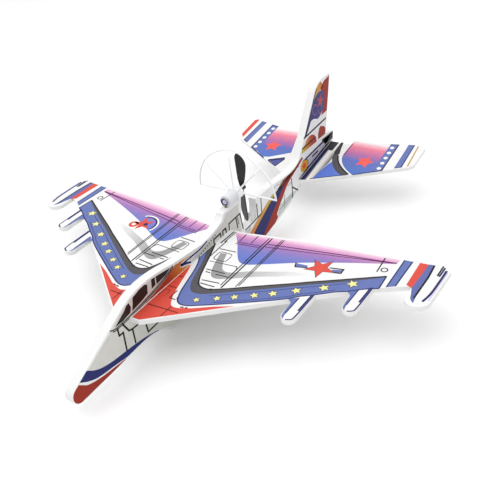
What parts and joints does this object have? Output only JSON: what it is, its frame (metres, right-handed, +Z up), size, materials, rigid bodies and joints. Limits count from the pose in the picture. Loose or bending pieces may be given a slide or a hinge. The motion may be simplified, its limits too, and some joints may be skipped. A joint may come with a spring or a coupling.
{
  "type": "foam toy jet",
  "caption": "Slot-together foam-sheet toy jet with a pusher motor pod on a pylon, a half-ring guard and a two-blade propeller.",
  "frame": {"origin": "under the middle of the outline, on the surface that the belly rests on", "axes": "+X to the port wing tip, +Y to the tail, +Z up"},
  "size_m": [0.299, 0.307, 0.086],
  "materials": {
    "foam_print": "matt expanded-foam sheet, printed on the upper faces and on both sides of the fuselage, undersides and cut edges bare",
    "white_plastic": "satin moulded plastic",
    "steel_can": "drawn steel, plated",
    "navy_plastic": "moulded plastic",
    "magnet": "plated magnet",
    "brass": "plain",
    "copper": "enamelled copper wire and copper segments",
    "black_plastic": "moulded, slightly glossy",
    "cell_sleeve": "aluminium can in a blue shrink sleeve",
    "board": "glass-fibre circuit board",
    "lamp_red": "tinted clear resin",
    "lead_red": "insulated wire",
    "lead_black": "insulated wire"
  },
  "bodies": {
    "airframe": {"fuselage_plate": "foam_print", "wing_panel": "foam_print", "tailplane_panel": "foam_print", "motor_holder": "white_plastic", "prop_guard": "white_plastic", "motor_can": "steel_can", "motor_end_cap": "navy_plastic", "motor_magnet": "magnet", "rear_bush": "brass", "front_bush": "brass", "terminal_port": "brass", "terminal_starboard": "brass", "case_port": "white_plastic", "case_starboard": "white_plastic", "case_screw_front": "steel_can", "case_screw_rear": "steel_can", "storage_cell": "cell_sleeve", "circuit_board": "board", "status_lamp": "lamp_red", "charge_socket": "black_plastic", "socket_contact": "brass", "switch_body": "steel_can", "lead_port": "lead_red", "lead_starboard": "lead_black"},
    "rotor": {"motor_shaft": "steel_can", "rotor_coil": "copper", "commutator": "copper", "propeller": "black_plastic"},
    "power_knob": {"switch_knob": "black_plastic"}
  },
  "joints": [
    {"name": "propeller_spin", "type": "hinge", "parent": "airframe", "child": "rotor", "pos_m": [0, 0.0228, 0.0505], "axis": [0, 1, 0], "continuous": true},
    {"name": "power_switch", "type": "slide", "parent": "airframe", "child": "power_knob", "axis": [0, 1, 0], "range_m": [0, 0.002]}
  ]
}
